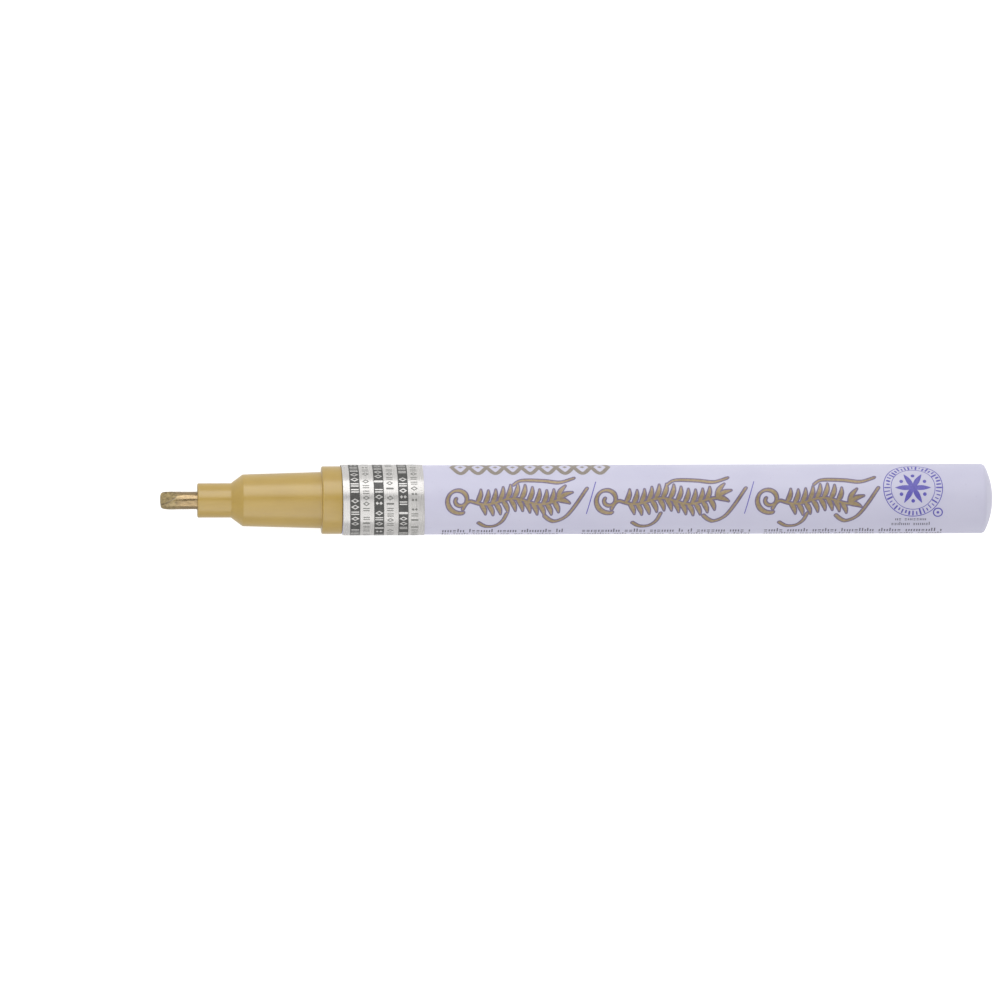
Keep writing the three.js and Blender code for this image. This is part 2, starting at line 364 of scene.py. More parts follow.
class Recipe:
    """One material's nodes. Its coordinates are the frame's, in millimetres."""

    def __init__(self, name, values):
        self.material = bpy.data.materials.new(name)
        self.material.use_nodes = True
        self.nodes = self.material.node_tree.nodes
        self.links = self.material.node_tree.links
        self.shader = self.nodes["Principled BSDF"]
        for key, value in values.items():
            self.shader.inputs[key].default_value = value
        self.spot = self.scaled(self.add("ShaderNodeTexCoord").outputs["Object"], (1 / MM,) * 3)
        self.bumps = None

    def add(self, kind, inputs=None, **settings):
        """A node with its settings, and its inputs set to values or linked to other nodes' outputs."""
        node = self.nodes.new(kind)
        for key, value in settings.items():
            setattr(node, key, value)
        for key, value in (inputs or {}).items():
            if isinstance(value, bpy.types.NodeSocket):
                self.links.new(value, node.inputs[key])
            else:
                node.inputs[key].default_value = value
        return node

    def scaled(self, spot, scale):
        """Coordinates times a scale along each axis."""
        return self.add("ShaderNodeVectorMath", {0: spot, 1: scale}, operation="MULTIPLY").outputs[0]

    def noise(self, per_mm, detail, stretch=(1, 1, 1)):
        """Noise of a fineness, drawn out along the axes whose stretch is small."""
        values = {"Vector": self.scaled(self.spot, stretch), "Scale": per_mm, "Detail": detail}
        return self.add("ShaderNodeTexNoise", values).outputs["Fac"]

    def band(self, value, low, high, to_low=0.0, to_high=1.0):
        """value from low to high, spread evenly over to_low to to_high and held beyond them."""
        values = {"Value": value, "From Min": low, "From Max": high, "To Min": to_low, "To Max": to_high}
        return self.add("ShaderNodeMapRange", values, clamp=True).outputs["Result"]

    def mix(self, share, first, second):
        """The colour that is a share of the way from the first to the second."""
        node = self.add("ShaderNodeMix", {"Factor": share}, data_type="RGBA")
        for key, value in (("A", first), ("B", second)):
            socket = next(i for i in node.inputs if i.name == key and i.type == "RGBA")
            if isinstance(value, bpy.types.NodeSocket):
                self.links.new(value, socket)
            else:
                socket.default_value = (*value, 1.0)
        return next(o for o in node.outputs if o.type == "RGBA")

    def times(self, value, factor):
        """value multiplied by a number."""
        return self.add("ShaderNodeMath", {0: value, 1: factor}, operation="MULTIPLY").outputs[0]

    def attribute(self, name):
        """A number that the mesh holds at each point."""
        return self.add("ShaderNodeAttribute", attribute_name=name).outputs["Fac"]

    def color(self, socket):
        """Gives the surface its colour."""
        self.links.new(socket, self.shader.inputs["Base Color"])

    def roughness(self, fac, low, high):
        """Roughness from low to high where fac runs through the middle of a noise."""
        self.links.new(self.band(fac, 0.3, 0.7, low, high), self.shader.inputs["Roughness"])

    def relief(self, fac, depth, strength):
        """Bumps of a depth in millimetres, on top of any there already."""
        values = {"Height": fac, "Strength": strength, "Distance": depth * MM}
        if self.bumps:
            values["Normal"] = self.bumps
        self.bumps = self.add("ShaderNodeBump", values).outputs["Normal"]
        self.links.new(self.bumps, self.shader.inputs["Normal"])


def lacquer_material():
    """Pale lavender lacquer over drawn aluminium: orange peel, faint draw lines and a few darker specks."""
    r = Recipe("lavender_lacquer", {"IOR": 1.45})
    clouds = r.noise(0.12, 3.0)
    tint = r.mix(r.band(clouds, 0.35, 0.65), (0.475, 0.467, 0.585), (0.5, 0.492, 0.605))
    specks = r.band(r.noise(2.3, 1.0), 0.72, 0.78)
    r.color(r.mix(r.times(specks, 0.35), tint, (0.41, 0.395, 0.51)))
    r.roughness(r.noise(1.7, 4.0), 0.4, 0.52)
    r.relief(r.noise(2.6, 2.0), 0.004, 0.25)
    r.relief(r.noise(7.0, 3.0, (0.03, 1, 1)), 0.002, 0.25)
    return r.material


def tan_plastic_material():
    """Satin moulded plastic, with flow marks and a fine spark-eroded grain."""
    r = Recipe("tan_plastic", {"IOR": 1.5, "Coat Weight": 0.7, "Coat Roughness": 0.28})
    flow = r.noise(0.5, 3.0, (0.35, 1, 1))
    r.color(r.mix(r.band(flow, 0.3, 0.7), (0.36, 0.235, 0.043), (0.4, 0.265, 0.051)))
    r.roughness(r.noise(5.0, 4.0), 0.32, 0.46)
    r.relief(r.noise(14.0, 2.0), 0.003, 0.3)
    r.relief(flow, 0.02, 0.2)
    return r.material


def fibre_material():
    """Bonded fibre wet with gold paint: bright along the shank, olive where the paint lies thick, and painted
    shade, a near-black brown, along the creases where the cut faces meet the rod.
    """
    r = Recipe("gold_wet_fibre", {"IOR": 1.5, "Coat Weight": 0.6, "Coat Roughness": 0.1})
    paint = r.attribute("paint")
    painted_crease_shade = r.attribute("painted_crease_shade")
    fibres = r.noise(9.0, 4.0, (0.16, 1, 1))
    shank = r.mix(r.band(fibres, 0.3, 0.7), (0.21, 0.14, 0.06), (0.38, 0.27, 0.13))
    face = r.mix(r.band(r.noise(2.4, 5.0), 0.35, 0.65), (0.15, 0.105, 0.034), (0.36, 0.27, 0.11))
    # painted shade: the colour goes most of the way to a near-black brown along the creases
    r.color(r.mix(r.times(painted_crease_shade, 0.8), r.mix(paint, shank, face), (0.09, 0.06, 0.02)))
    r.links.new(r.band(paint, 0, 1, 0.75, 0.35), r.shader.inputs["Metallic"])
    r.links.new(r.band(paint, 0, 1, 0.22, 0.5), r.shader.inputs["Roughness"])
    r.relief(fibres, 0.02, 0.3)
    r.relief(r.noise(12.0, 4.0), 0.01, 0.3)
    return r.material


def foil_material():
    """Silver foil, faintly brushed round the barrel, with soft wrinkles from being wrapped."""
    r = Recipe("silver_foil", {"Metallic": 0.34, "IOR": 1.5})
    brushed = r.noise(1.0, 4.0, (22, 0.6, 0.6))
    r.color(r.mix(r.band(brushed, 0.3, 0.7), (0.49, 0.477, 0.464), (0.555, 0.542, 0.528)))
    r.roughness(brushed, 0.2, 0.32)
    r.relief(brushed, 0.004, 0.3)
    r.relief(r.noise(0.45, 2.0, (1.6, 1, 1)), 0.05, 0.25)
    return r.material


def rubber_material():
    """Black rubber with a faint grey bloom."""
    r = Recipe("black_rubber", {"IOR": 1.52})
    bloom = r.noise(1.1, 4.0)
    r.color(r.mix(r.band(bloom, 0.35, 0.7), (0.022, 0.022, 0.023), (0.05, 0.05, 0.052)))
    r.roughness(bloom, 0.55, 0.8)
    r.relief(r.noise(9.0, 3.0), 0.01, 0.4)
    return r.material


def natural_plastic_material():
    """Unpigmented polypropylene, milky and a little waxy."""
    r = Recipe("natural_plastic", {"IOR": 1.49, "Subsurface Weight": 0.4, "Subsurface Scale": 0.001})
    cloudy = r.noise(0.8, 3.0)
    r.color(r.mix(r.band(cloudy, 0.3, 0.7), (0.76, 0.75, 0.7), (0.84, 0.83, 0.79)))
    r.roughness(r.noise(4.0, 3.0), 0.38, 0.52)
    r.relief(r.noise(10.0, 2.0), 0.004, 0.3)
    return r.material


def steel_material(name, low, high, stretch):
    """Bare steel whose fine lines run along a stretched direction."""
    r = Recipe(name, {"Metallic": 1.0})
    lines = r.noise(6.0, 4.0, stretch)
    r.color(r.mix(r.band(lines, 0.3, 0.7), (0.5, 0.5, 0.51), (0.64, 0.64, 0.65)))
    r.roughness(lines, low, high)
    r.relief(lines, 0.002, 0.3)
    return r.material


def ink_material(name, tint, shade, rough=0.4, metal=0.0):
    """Screen-printed ink: a little uneven in tone, with a soft grain."""
    r = Recipe(name, {"Metallic": metal})
    r.color(r.mix(r.band(r.noise(3.2, 4.0), 0.35, 0.65), tint, shade))
    r.roughness(r.noise(6.0, 2.0), rough - 0.06, rough + 0.08)
    r.relief(r.noise(16.0, 2.0), 0.003, 0.3)
    return r.material


def floor_material():
    """A white table that glows, so that it shows no shadow, as in the photograph."""
    glow = {"Emission Color": (1, 1, 1, 1), "Emission Strength": 0.6}
    r = Recipe("pale_floor", {"Roughness": 0.9, "Specular IOR Level": 0.1, **glow})
    r.color(r.mix(r.band(r.noise(0.02, 2.0), 0.3, 0.7), (0.6, 0.6, 0.6), (0.62, 0.62, 0.62)))
    return r.material


lacquer = lacquer_material()
tan_plastic = tan_plastic_material()
foil = foil_material()
rubber = rubber_material()
natural = natural_plastic_material()
gold_ink = ink_material("gold_ink", (0.25, 0.188, 0.1), (0.31, 0.238, 0.135), 0.36, 0.25)
outline_ink = ink_material("grey_violet_ink", (0.13, 0.103, 0.18), (0.16, 0.128, 0.215))
pale_gold_ink = ink_material("pale_gold_ink", (0.23, 0.2, 0.17), (0.27, 0.235, 0.2), 0.36, 0.2)
blue_ink = ink_material("blue_violet_ink", (0.08, 0.067, 0.33), (0.105, 0.088, 0.39))
fine_ink = ink_material("fine_print_ink", (0.07, 0.065, 0.095), (0.09, 0.083, 0.115))
black_ink = ink_material("label_black_ink", (0.04, 0.04, 0.038), (0.06, 0.059, 0.055))
grey_ink = ink_material("label_grey_ink", (0.13, 0.13, 0.12), (0.17, 0.17, 0.16))

# ---- Turned pieces ------------------------------------------------------------------------------------


def fibre_grain(x, y, s):
    """How far the nib's surface stands out at a point: fine lines along it, and broader dents."""
    lines = noise.noise(Vector((x * 6, y * 6, s * 0.7))) * 0.012
    dents = noise.noise(Vector((x * 2, y * 2, s * 1.5))) * 0.014
    return lines + dents


def nib_stations(rear):
    """Where the nib's rings of points are: close together where it is seen, and few inside the marker."""
    seen = 6.0
    steps = round(seen / 0.045)
    hidden_steps = 30
    rear_cone = 0.3
    hidden = rear - seen - rear_cone
    stations = [seen * i / steps for i in range(steps + 1)]
    return stations + [seen + hidden * i / hidden_steps for i in range(1, hidden_steps + 1)]


def make_nib():
    """A fibre rod with its front cut to a chisel. Fibre grain and the paint on it roughen the surface."""
    rear = span("nib")[1]
    rod = 1.225
    edge = 0.35  # half the thickness left at the front edge
    bevel = 2.85
    clear = 1.2 * rod  # each cut plane is this far from the axis at the end of the bevel
    corner = 0.7  # rounds the two ends of the front edge
    lip = 0.12  # rounds the front edge itself
    roll = math.radians(40)
    hardness = 16  # how sharply the cut faces meet the rod
    sunk = 0.006
    swelling = 0.035  # the wet tip is a little fatter than the rod behind it
    swollen = 1.4 * bevel
    painted = 2.9  # the paint lies thick on the cut faces, and all round the tip as far back as this
    paint_edge = 0.04
    painted_shade_width = 0.16  # how wide the painted shade along the creases is; it runs off the edges between the cut faces and the rod
    stations = nib_stations(rear)
    turn = [2 * math.pi * i / ROUND for i in range(ROUND)]
    vertices = [place(0, 0, 0)]
    paint = [1.0]
    painted_crease_shade = [0.0]
    for s in stations:
        soften = lip - math.sqrt(max(lip**2 - max(lip - s, 0) ** 2, 0))
        half_width = rod - corner + math.sqrt(corner**2 - max(corner - s, 0) ** 2) - soften
        half_depth = edge + (clear - edge) * s / bevel - soften
        cut_angle = math.acos(min(1.0, half_depth / rod))
        swell = swelling * max(0.0, 1 - s / swollen)
        paint_round = 0.8 * min(1.0, max(0.0, painted - s))
        for angle in turn:
            to_cut = half_depth / max(abs(math.cos(angle)), TINY)
            limits = [rod, to_cut]
            if s < corner:
                limits.append(half_width / max(abs(math.sin(angle)), TINY))
            radius = sum(limit**-hardness for limit in limits) ** (-1 / hardness)
            radius += fibre_grain(radius * math.sin(angle), radius * math.cos(angle), s) - sunk + swell
            turned = angle + roll
            vertices.append(place(s, radius * math.sin(turned), radius * math.cos(turned)))
            on_cut = max(0.0, min(1.0, (rod - to_cut) / paint_edge + 0.5))
            paint.append(max(on_cut, paint_round))
            # painted shade along the creases: strongest on the edge between a cut face and the rod, gone a
            # painted shade width away
            off_edge = abs(math.acos(min(1.0, abs(math.cos(angle)))) - cut_angle) * rod
            painted_crease_shade.append(max(0.0, 1 - off_edge / painted_shade_width) if half_depth < rod else 0.0)
    vertices.append(place(rear, 0, 0))
    paint.append(0.0)
    painted_crease_shade.append(0.0)
    rings = [[1 + k * ROUND + i for i in range(ROUND)] for k in range(len(stations))]
    faces = [[0, rings[0][i], rings[0][i - 1]] for i in range(ROUND)]
    for first, second in zip(rings, rings[1:]):
        faces += [[first[i - 1], first[i], second[i], second[i - 1]] for i in range(ROUND)]
    faces += [[len(vertices) - 1, rings[-1][i - 1], rings[-1][i]] for i in range(ROUND)]
    item = piece("nib_shape", vertices, faces, fibre_material(), "nib_rod", "nib")
    # paint marks where the paint lies thick; the other attribute carries the painted shade along the creases
    for name, values in (("paint", paint), ("painted_crease_shade", painted_crease_shade)):
        item.data.attributes.new(name, "FLOAT", "POINT").data.foreach_set("value", values)


def make_front_section():
    """Tip tube, cone, grip and flange, and the plug with its ring groove that goes into the barrel."""
    face, plug_end, flange = span("front_section")
    flange_rear = span("barrel")[0] - 0.05
    shoulder = face + 17
    grip_front = 3.55
    grip_rear = 3.865
    cone_start = face + 4.6
    cone_end = face + 6.2
    tube = 2.36
    plug = span("barrel")[2] - 0.45
    plug_lead = 0.6
    groove = sum(span("packing_ring")[:2]) / 2
    half_groove = 0.4
    groove_floor = plug - 0.66
    pocket = 3.15  # the valve case sits in it
    pocket_start = 27.5
    bore = 1.295  # the nib slides in it, and in the web
    bore_end = 11.6
    chamber = 2.2
    chamber_start = 12.6
    web_front = 19.6
    web_rear = 21.8
    slot_width = 0.7  # paint passes the web through four slots
    slot_floor = 0.5
    profile = [
        (face, bore, 0.12),
        (face, tube, 0.16),
        (cone_start, tube, 0.25),
        (cone_end, grip_front, 0.4),
        (shoulder, grip_rear, 0.06),
        (shoulder, flange, 0.22),
        (flange_rear, flange, 0.12),
        (flange_rear, plug, 0.05),
        (groove - half_groove, plug, 0.08),
        (groove - half_groove, groove_floor, 0.1),
        (groove + half_groove, groove_floor, 0.1),
        (groove + half_groove, plug, 0.08),
        (plug_end - plug_lead, plug, 0.3),
        (plug_end, plug - plug_lead / 2, 0.1),
        (plug_end, pocket, 0.1),
        (pocket_start, pocket, 0.1),
        (pocket_start, chamber, 0.08),
        (web_rear, chamber, 0.1),
        (web_rear, bore, 0.1),
        (web_front, bore, 0.1),
        (web_front, chamber, 0.1),
        (chamber_start, chamber, 0.15),
        (bore_end, bore, 0.3),
    ]
    vertices, faces = revolve(rounded(profile))
    item = piece("front_section_shape", vertices, faces, tan_plastic, HOLDER, "front_section")
    slot = soft_rectangle((web_front + web_rear) / 2, web_rear - web_front + 1, slot_width, 0.1)
    cut(item, [radial_cutter(slot, slot_floor, chamber + 0.02, math.pi * k / 2) for k in range(4)])


def make_barrel():
    """A drawn tube of even wall, open at its mouth, with a shallow dome that closes the tail."""
    mouth, tail, radius = span("barrel")
    wall = 0.4
    dome = 10.0
    corner = 0.7
    centre = tail - dome
    turn = math.acos((radius - corner) / (dome - corner))
    corner_centre = (centre + (dome - corner) * math.sin(turn), radius - corner)

    def closed_end(inset):
        """The line from the side round the corner, and over the dome to the axis."""
        bend = arc(corner_centre, corner - inset, math.pi / 2, math.pi / 2 - turn, 10)
        crown = arc((centre, 0), dome - inset, math.pi / 2 - turn, 0, 24)
        return bend + crown[1:]

    length = corner_centre[0] - mouth
    steps = 12
    side = [Vector((mouth + length * i / steps, radius)) for i in range(1, steps)]
    rim_inside = Vector((mouth, radius - wall))
    rim_outside = Vector((mouth, radius))
    rim = [rim_inside, *fillet(rim_inside, rim_outside, side[0], 0.12, 4)]
    profile = [*closed_end(wall)[::-1], *rim, *side, *closed_end(0)]
    vertices, faces = revolve(profile, closed=False)
    piece("barrel_shape", vertices, faces, lacquer, HOLDER, "barrel")


def make_packing_ring():
    """A rubber ring of round section, in the groove of the front section's plug."""
    front, rear, outer = span("packing_ring")
    section = (rear - front) / 2
    circle = arc(((front + rear) / 2, outer - section), section, 0, 2 * math.pi, 24)[:-1]
    vertices, faces = revolve(circle)
    piece("packing_ring_shape", vertices, faces, rubber, HOLDER, "packing_ring")


def make_valve_seat():
    """A rubber washer with a raised lip, on which the stem's head closes."""
    front, rear, radius = span("valve_seat")
    bore = 1.45
    lip = 0.35
    profile = [
        (front, bore, 0.1),
        (front, radius, 0.12),
        (rear, radius, 0.12),
        (rear, bore + 2 * lip, 0.08),
        (rear - lip, bore + 2 * lip, 0.08),
        (rear - lip, bore + lip, 0.08),
        (rear, bore + lip, 0.12),
        (rear, bore, 0.12),
    ]
    vertices, faces = revolve(rounded(profile, steps=4))
    piece("valve_seat_shape", vertices, faces, rubber, HOLDER, "valve_seat")


def make_valve_case():
    """The cup behind the seat, with paint windows in its side. Its floor has no ports, unlike the CAD's."""
    front, rear, collar = span("valve_case")
    collar_front = span("front_section")[1] + 0.05
    collar_rear = collar_front + 0.9
    floor = rear - 2.4
    outer = 3.1
    inner = 2.45
    guide = 1.02
    window_width = 1.5
    window_inside = 1.6  # the windows' cutters start here, inside the cup
    profile = [
        (front, inner, 0.1),
        (front, outer, 0.15),
        (collar_front, outer, 0.08),
        (collar_front, collar, 0.15),
        (collar_rear, collar, 0.15),
        (collar_rear, outer, 0.1),
        (rear, outer, 0.35),
        (rear, guide, 0.15),
        (floor, guide, 0.15),
        (floor, inner, 0.2),
    ]
    vertices, faces = revolve(rounded(profile))
    item = piece("valve_case_shape", vertices, faces, natural, HOLDER, "valve_case")
    window = soft_rectangle((collar_rear + floor) / 2, floor - collar_rear - 0.6, window_width, 0.3)
    cut(item, [radial_cutter(window, window_inside, outer + 0.5, math.pi * k / 2) for k in range(4)])


def make_valve_stem():
    """The rod that the nib pushes, the head that closes on the seat, and the tail that guides it."""
    front, rear, head = span("valve_stem")
    head_front = span("valve_case")[0]
    head_rear = head_front + 1.2
    rod = 1.05
    hub = 1.25
    tail = 0.95
    profile = [
        (front, 0.0, 0),
        (front, rod, 0.2),
        (head_front, rod, 0.12),
        (head_front, head, 0.18),
        (head_rear, head, 0.18),
        (head_rear, hub, 0.12),
        (head_rear + 0.6, hub, 0.1),
        (head_rear + 0.9, tail, 0.2),
        (rear, tail, 0.2),
        (rear, 0.0, 0),
    ]
    vertices, faces = revolve(rounded(profile, closed=False), closed=False)
    piece("valve_stem_shape", vertices, faces, natural, "plunger", "valve_stem")


def make_valve_spring():
    """A wire coil with a closed turn at each end, built at one length. In the marker it shortens as the stem
    is pushed in.
    """
    front, rear, outer = span("valve_spring")
    wire = 0.2
    coil = outer - wire
    turns = 7
    closed_pitch = 0.45
    steps = turns * 40
    sides = 14  # round the wire
    length = rear - front - 2 * wire
    open_pitch = (length - 2 * closed_pitch) / (turns - 2)
    vertices = []
    for step in range(steps + 1):
        turn = turns * step / steps
        open_turns = min(max(turn - 1, 0), turns - 2)
        s = front + wire + closed_pitch * (turn - open_turns) + open_pitch * open_turns
        angle = 2 * math.pi * turn + math.pi / 2
        out = Vector((0, math.sin(angle), math.cos(angle)))
        for i in range(sides):
            around = 2 * math.pi * i / sides
            spot = out * (coil + wire * math.cos(around))
            vertices.append(place(s + wire * math.sin(around), spot.y, spot.z))
    faces = [list(range(sides)), list(range(steps * sides, (steps + 1) * sides))]
    for step in range(steps):
        low, high = step * sides, (step + 1) * sides
        faces += [[low + i - 1, low + i, high + i, high + i - 1] for i in range(1, sides)]
        faces.append([low + sides - 1, low, high, high + sides - 1])
    wire_steel = steel_material("spring_wire", 0.18, 0.34, (1, 0.2, 0.2))
    item = piece("valve_spring_shape", vertices, faces, wire_steel, HOLDER, "valve_spring")
    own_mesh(item)


def make_mixing_ball():
    """A steel ball that runs loose along the bottom of the barrel."""
    front, rear, radius = span("mixing_ball")
    low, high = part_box("mixing_ball")
    centre = (low + high) / 2 / MM
    profile = arc(((front + rear) / 2, 0), radius, math.pi, 0, 48)
    vertices, faces = revolve(profile, closed=False, offset=(centre.y, centre.z - AXIS_HEIGHT), sides=96)
    ball_steel = steel_material("polished_ball", 0.06, 0.14, (1, 1, 1))
    piece("mixing_ball_shape", vertices, faces, ball_steel, "ball", "mixing_ball")


make_nib()
make_front_section()
make_barrel()
make_packing_ring()
make_valve_seat()
make_valve_case()
make_valve_stem()
make_valve_spring()
make_mixing_ball()

# ---- The neck label -----------------------------------------------------------------------------------

LABEL_FRONT, LABEL_REAR, LABEL_RADIUS = span("neck_label")
BARREL_RADIUS = span("barrel")[2]
LABEL_LEAN = -0.02  # how far the label runs forward for each unit round the barrel: it is wrapped askew
SEAM = math.radians(135)
SEAM_GAP = 0.25
LABEL_INK = (-0.004, 0.006)  # heights of a film's bottom and top: ink starts a little inside its surface
ON_LABEL_INK = (0.002, 0.011)
LABEL_START = (SEAM - 2 * math.pi) * LABEL_RADIUS + SEAM_GAP / 2
LABEL_END = SEAM * LABEL_RADIUS - SEAM_GAP / 2


def make_neck_label():
    """A wrapped strip of foil whose ends nearly meet. Its edges are pressed down onto the barrel."""
    inner = BARREL_RADIUS + 0.005
    edge = 0.04
    across = [
        (LABEL_FRONT, inner, 0),
        (LABEL_FRONT, LABEL_RADIUS, edge),
        (LABEL_REAR, LABEL_RADIUS, edge),
        (LABEL_REAR, inner, 0),
    ]
    profile = rounded(across, steps=4)
    steps = 180
    vertices = []
    for step in range(steps + 1):
        round_way = LABEL_START + (LABEL_END - LABEL_START) * step / steps
        angle = round_way / LABEL_RADIUS
        for s, radius in profile:
            lean = LABEL_LEAN * round_way
            vertices.append(place(s + lean, radius * math.sin(angle), radius * math.cos(angle)))
    count = len(profile)
    faces = [list(range(count)), list(range(steps * count, (steps + 1) * count))]
    for step in range(steps):
        low, high = step * count, (step + 1) * count
        for i in range(count):
            j = (i + 1) % count
            faces.append([low + i, low + j, high + j, high + i])
    piece("neck_label_shape", vertices, faces, foil, HOLDER, "neck_label")


def strip(start, end, low, high):
    """A rectangle of (s, arc) points, cut across so that it bends round the barrel."""
    rows = max(1, math.ceil((high - low) / GRAIN))
    points = []
    for row in range(rows + 1):
        arc_at = low + (high - low) * row / rows
        points += [(start, arc_at), (end, arc_at)]
    return points, [[2 * k, 2 * k + 1, 2 * k + 3, 2 * k + 2] for k in range(rows)]


def small_print(length, height, pen):
    """Boxes (from, to, low, high) along a line of small print. They stand for words and hold no letters."""
    usual = height * 0.68
    boxes = []
    at = 0.0
    while at < length:
        for _ in range(random.randint(2, 9)):
            kind = random.random()
            tall = height if random.random() < 0.25 else usual
            if kind < 0.4:
                boxes.append((at, at + pen, 0, tall))
                at += pen * 2.2
            elif kind < 0.75:
                boxes += [(at, at + pen, 0, usual), (at + pen * 2, at + pen * 3, 0, tall)]
                at += pen * 4.2
            else:
                bar_end = at + pen * 2.4
                boxes += [(at, bar_end, 0, height * 0.2), (at, bar_end, height * 0.45, height * 0.65)]
                at += pen * 3.6
        at += pen * 3
    return [box for box in boxes if box[1] < length]


def label_mark(s, across, reach, side, pen):
    """One mark in a line of label print: a lozenge, two bars across the line, a broad bar, or two dots."""
    kind = random.choice(("lozenge", "lozenge", "bars", "bars", "broad", "dots"))
    if kind == "lozenge":
        corners = [(1, 0), (0, 1), (-1, 0), (0, -1)]
        outer = [(s + 1.22 * reach * x, across + 1.22 * side * y) for x, y in corners]
        inner = [(s + 0.66 * reach * x, across + 0.66 * side * y) for x, y in corners]
        return [[outer[i - 1], outer[i], inner[i], inner[i - 1]] for i in range(4)]
    if kind == "bars":
        places = (across - side * 0.6, across + side * 0.6)
        return [part for at in places for part in straight((s - reach, at), (s + reach, at), pen)]
    if kind == "broad":
        return straight((s - reach, across), (s + reach, across), pen * 2)
    return lozenge(s - 0.55 * reach, across, reach) + lozenge(s + 0.55 * reach, across, reach)


def line_of_marks(s, reach, side, pen):
    """Marks in a line round the label, with gaps as between words. They hold no letters."""
    margin = 0.8
    gap = 0.15
    marks = []
    across = LABEL_START + margin
    while across < LABEL_END - margin:
        for _ in range(random.randint(3, 8)):
            if across < LABEL_END - margin:
                marks += label_mark(s, across, reach, side, pen)
            across += 2 * side + pen + gap
        across += 2 * side
    return marks


def printed_label():
    """Three black bands with bright marks in them, and a line of finer grey marks beside each."""
    bands = [(0.93, 1.38), (4.22, 1.36), (7.55, 1.36)]  # how far along the label each starts, and its width
    black = []
    bright = []
    grey = []
    for at, width in bands:
        low = LABEL_FRONT + at
        black.append(strip(low, low + width, LABEL_START, LABEL_END))
        bright += line_of_marks(low + width / 2, width * 0.34, 0.27, 0.17)
        grey += line_of_marks(low + width + 0.85, 0.4, 0.26, 0.13)
    film("label_bands", black, LABEL_RADIUS, black_ink, LABEL_INK, LABEL_LEAN)
    film("label_small_print", [union(grey)], LABEL_RADIUS, grey_ink, LABEL_INK, LABEL_LEAN)
    film("label_marks", [union(bright)], LABEL_RADIUS, foil, ON_LABEL_INK, LABEL_LEAN)


make_neck_label()
printed_label()

# ---- The printing on the barrel -----------------------------------------------------------------------

OUTLINE = 0.36  # how much wider the outline is than the gold on it
PEN = 0.44
INK = (-0.004, 0.009)  # heights of a film's bottom and top
ON_INK = (0.002, 0.016)


def scroll_line(eye):
    """The line of a scroll that winds outwards from round its eye."""
    turns = 1.35
    steps = 44
    line = []
    for step in range(steps + 1):
        t = step / steps
        angle = math.radians(-75) - 2 * math.pi * turns * (1 - t)
        reach = 0.45 + 1.45 * t
        width = PEN * (0.7 + 0.5 * t)
        line.append((eye[0] + reach * math.cos(angle), eye[1] + reach * math.sin(angle), width))
    return line


def spray(stem_start, stem_end, rise, grow):
    """A stem with leaves on both sides and three at its end. rise(s) says how far round the stem is."""
    steps = math.ceil((stem_end - stem_start) / GRAIN)
    along = [stem_start + (stem_end - stem_start) * i / steps for i in range(steps + 1)]
    parts = stroke([(s, rise(s), 0.26) for s in along], None, grow)
    pitch = 1.0
    count = int((stem_end - stem_start - 2.0) / pitch)
    for k in range(count):
        s = stem_start + 1.9 + pitch * k
        between = s + pitch / 2
        swell = 0.85 + 0.15 * math.sin(math.pi * (k + 1) / (count + 1))
        parts += leaf((s, rise(s)), math.radians(72), 2.15 * swell, PEN, -0.1, grow)
        parts += leaf((between, rise(between)), math.radians(-64), 1.85 * swell, PEN, 0.1, grow)
    for turn, reach in ((62, 2.3), (28, 2.3), (-14, 1.7)):
        parts += leaf((stem_end, rise(stem_end)), math.radians(turn), reach, PEN, 0.1, grow)
    return parts


def swashes(middle, end):
    """The (s, arc, width) knots of three long curves: over the leaves, under them, and past the end."""
    over = [
        (middle - 0.1, 2.1, 0.34),
        (middle + 1.0, 2.75, 0.42),
        (middle + 3.9, 2.7, 0.44),
        (middle + 6.2, 2.45, 0.42),
        (middle + 8.1, 3.1, 0.44),
    ]
    under = [
        (middle - 4.9, -3.45, 0.34),
        (middle - 3.9, -4.15, 0.42),
        (middle - 2.7, -4.05, 0.46),
        (middle - 1.7, -3.2, 0.44),
        (middle - 1.1, -2.0, 0.4),
    ]
    tail = [
        (end - 5.5, -2.3, 0.34),
        (end - 4.8, -2.95, 0.42),
        (end - 4.0, -3.2, 0.46),
        (end - 2.6, -2.45, 0.46),
        (end - 1.2, -0.7, 0.44),
        (end + 0.3, 1.5, 0.34),
    ]
    return over, under, tail


def flourish(start, length, grow):
    """A laurel drawn with a broad pen: a scroll, a stem with leaves on both sides, and three swashes."""
    end = start + length
    scroll = scroll_line((start + 2.0, -0.05))
    stem_start = scroll[-1][0]

    def rise(s):
        """The stem waves, and dips to meet the scroll's outer end."""
        wave = 0.4 * math.sin((s - start) * 2 * math.pi / 7.5)
        return wave - 0.25 - 1.4 * max(0.0, 1 - (s - stem_start) / 1.2) ** 2

    parts = stroke(scroll, 0.22, grow) + spray(stem_start, end - 3.7, rise, grow)
    for knots in swashes(start + length / 2, end):
        parts += stroke(curve(knots), 0.2, grow)
    return parts


def dividers():
    """The thin slanted lines between the runs."""
    half_slant = 0.65
    low = -2.0
    high = 2.5
    parts = []
    for s in (58.9, 80.6):
        parts += straight((s - half_slant, low), (s + half_slant, high), 0.13)
    return parts


def braid(start, eyes):
    """A bold braid of two waves along the top, with a dot in each eye."""
    eye_length = 2.39
    length = eyes * eye_length
    middle = 5.71
    weight = 0.62
    reach = 1.95 - weight / 2
    steps = math.ceil(length / GRAIN * 2)
    parts = []
    for side in (-1, 1):
        wave = []
        for step in range(steps + 1):
            along = length * step / steps
            sway = side * reach * math.sin(math.pi * along / eye_length)
            wave.append((start + along, middle + sway, weight))
        parts += stroke(wave)
    for eye in range(eyes):
        parts += lozenge(start + eye_length * (eye + 0.5), middle, 0.7)
    return parts


